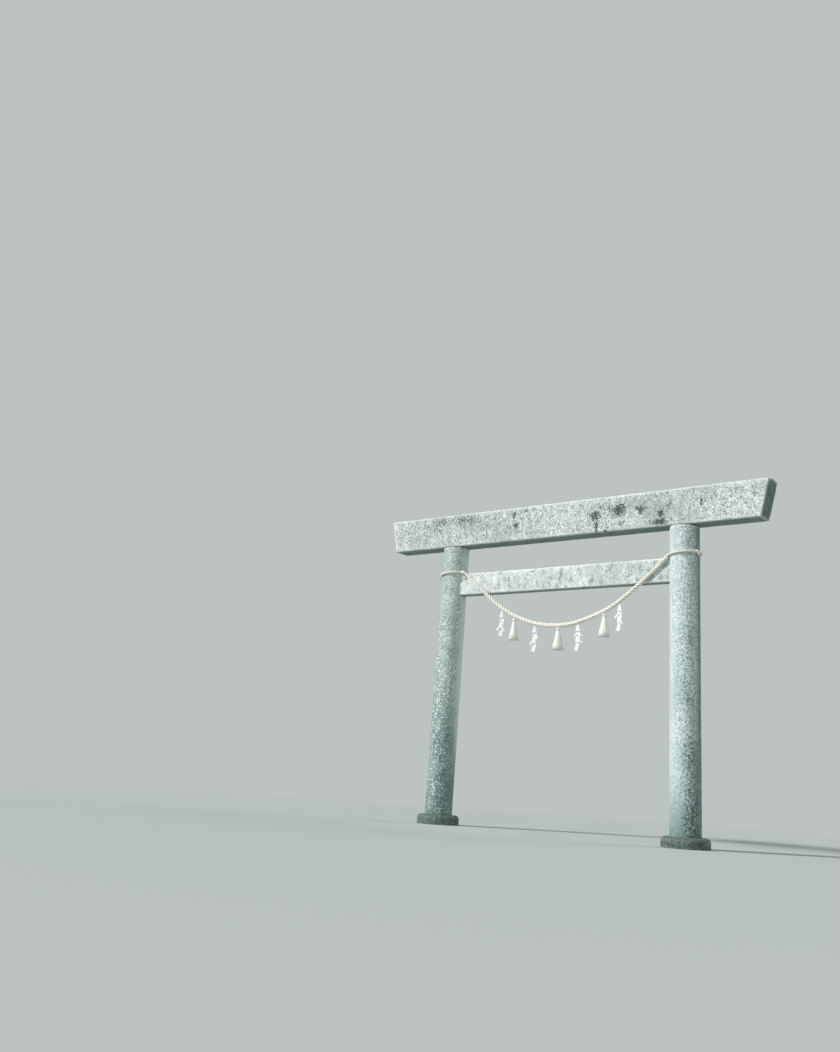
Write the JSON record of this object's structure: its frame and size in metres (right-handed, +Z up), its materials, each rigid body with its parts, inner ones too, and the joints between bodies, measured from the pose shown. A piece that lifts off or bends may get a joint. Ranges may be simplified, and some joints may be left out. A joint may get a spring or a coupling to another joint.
{
  "type": "stone torii gate with a straw rope",
  "caption": "Stone torii gate: two leaning round pillars on split plinths, a housed tie beam, a flared lintel, and a hanging straw rope with tassels and paper streamers.",
  "frame": {"origin": "on the ground, midway between the two pillars", "axes": "+X along the lintel, -Y towards the front where the rope hangs, +Z up"},
  "size_m": [5.0662, 0.5, 3.784],
  "materials": {
    "granite": "weathered bush-hammered granite with lichen",
    "mossy_granite": "damp granite with moss",
    "straw_rope": "twisted rice straw",
    "straw_tassel": "combed rice straw, cut flat",
    "folded_paper": "folded white paper"
  },
  "bodies": {
    "root": {"left_pillar": "granite", "right_pillar": "granite", "lintel": "granite", "tie_beam": "granite", "left_plinth_outer": "mossy_granite", "left_plinth_inner": "mossy_granite", "right_plinth_outer": "mossy_granite", "right_plinth_inner": "mossy_granite", "rope": "straw_rope", "left_loop": "straw_rope", "right_loop": "straw_rope", "left_knot": "straw_rope", "right_knot": "straw_rope", "left_hitch": "straw_rope", "right_hitch": "straw_rope", "left_tassel_tie": "straw_rope", "middle_tassel_tie": "straw_rope", "right_tassel_tie": "straw_rope", "left_tassel": "straw_tassel", "middle_tassel": "straw_tassel", "right_tassel": "straw_tassel", "streamer_1": "folded_paper", "streamer_2": "folded_paper", "streamer_3": "folded_paper", "streamer_4": "folded_paper"}
  },
  "joints": []
}
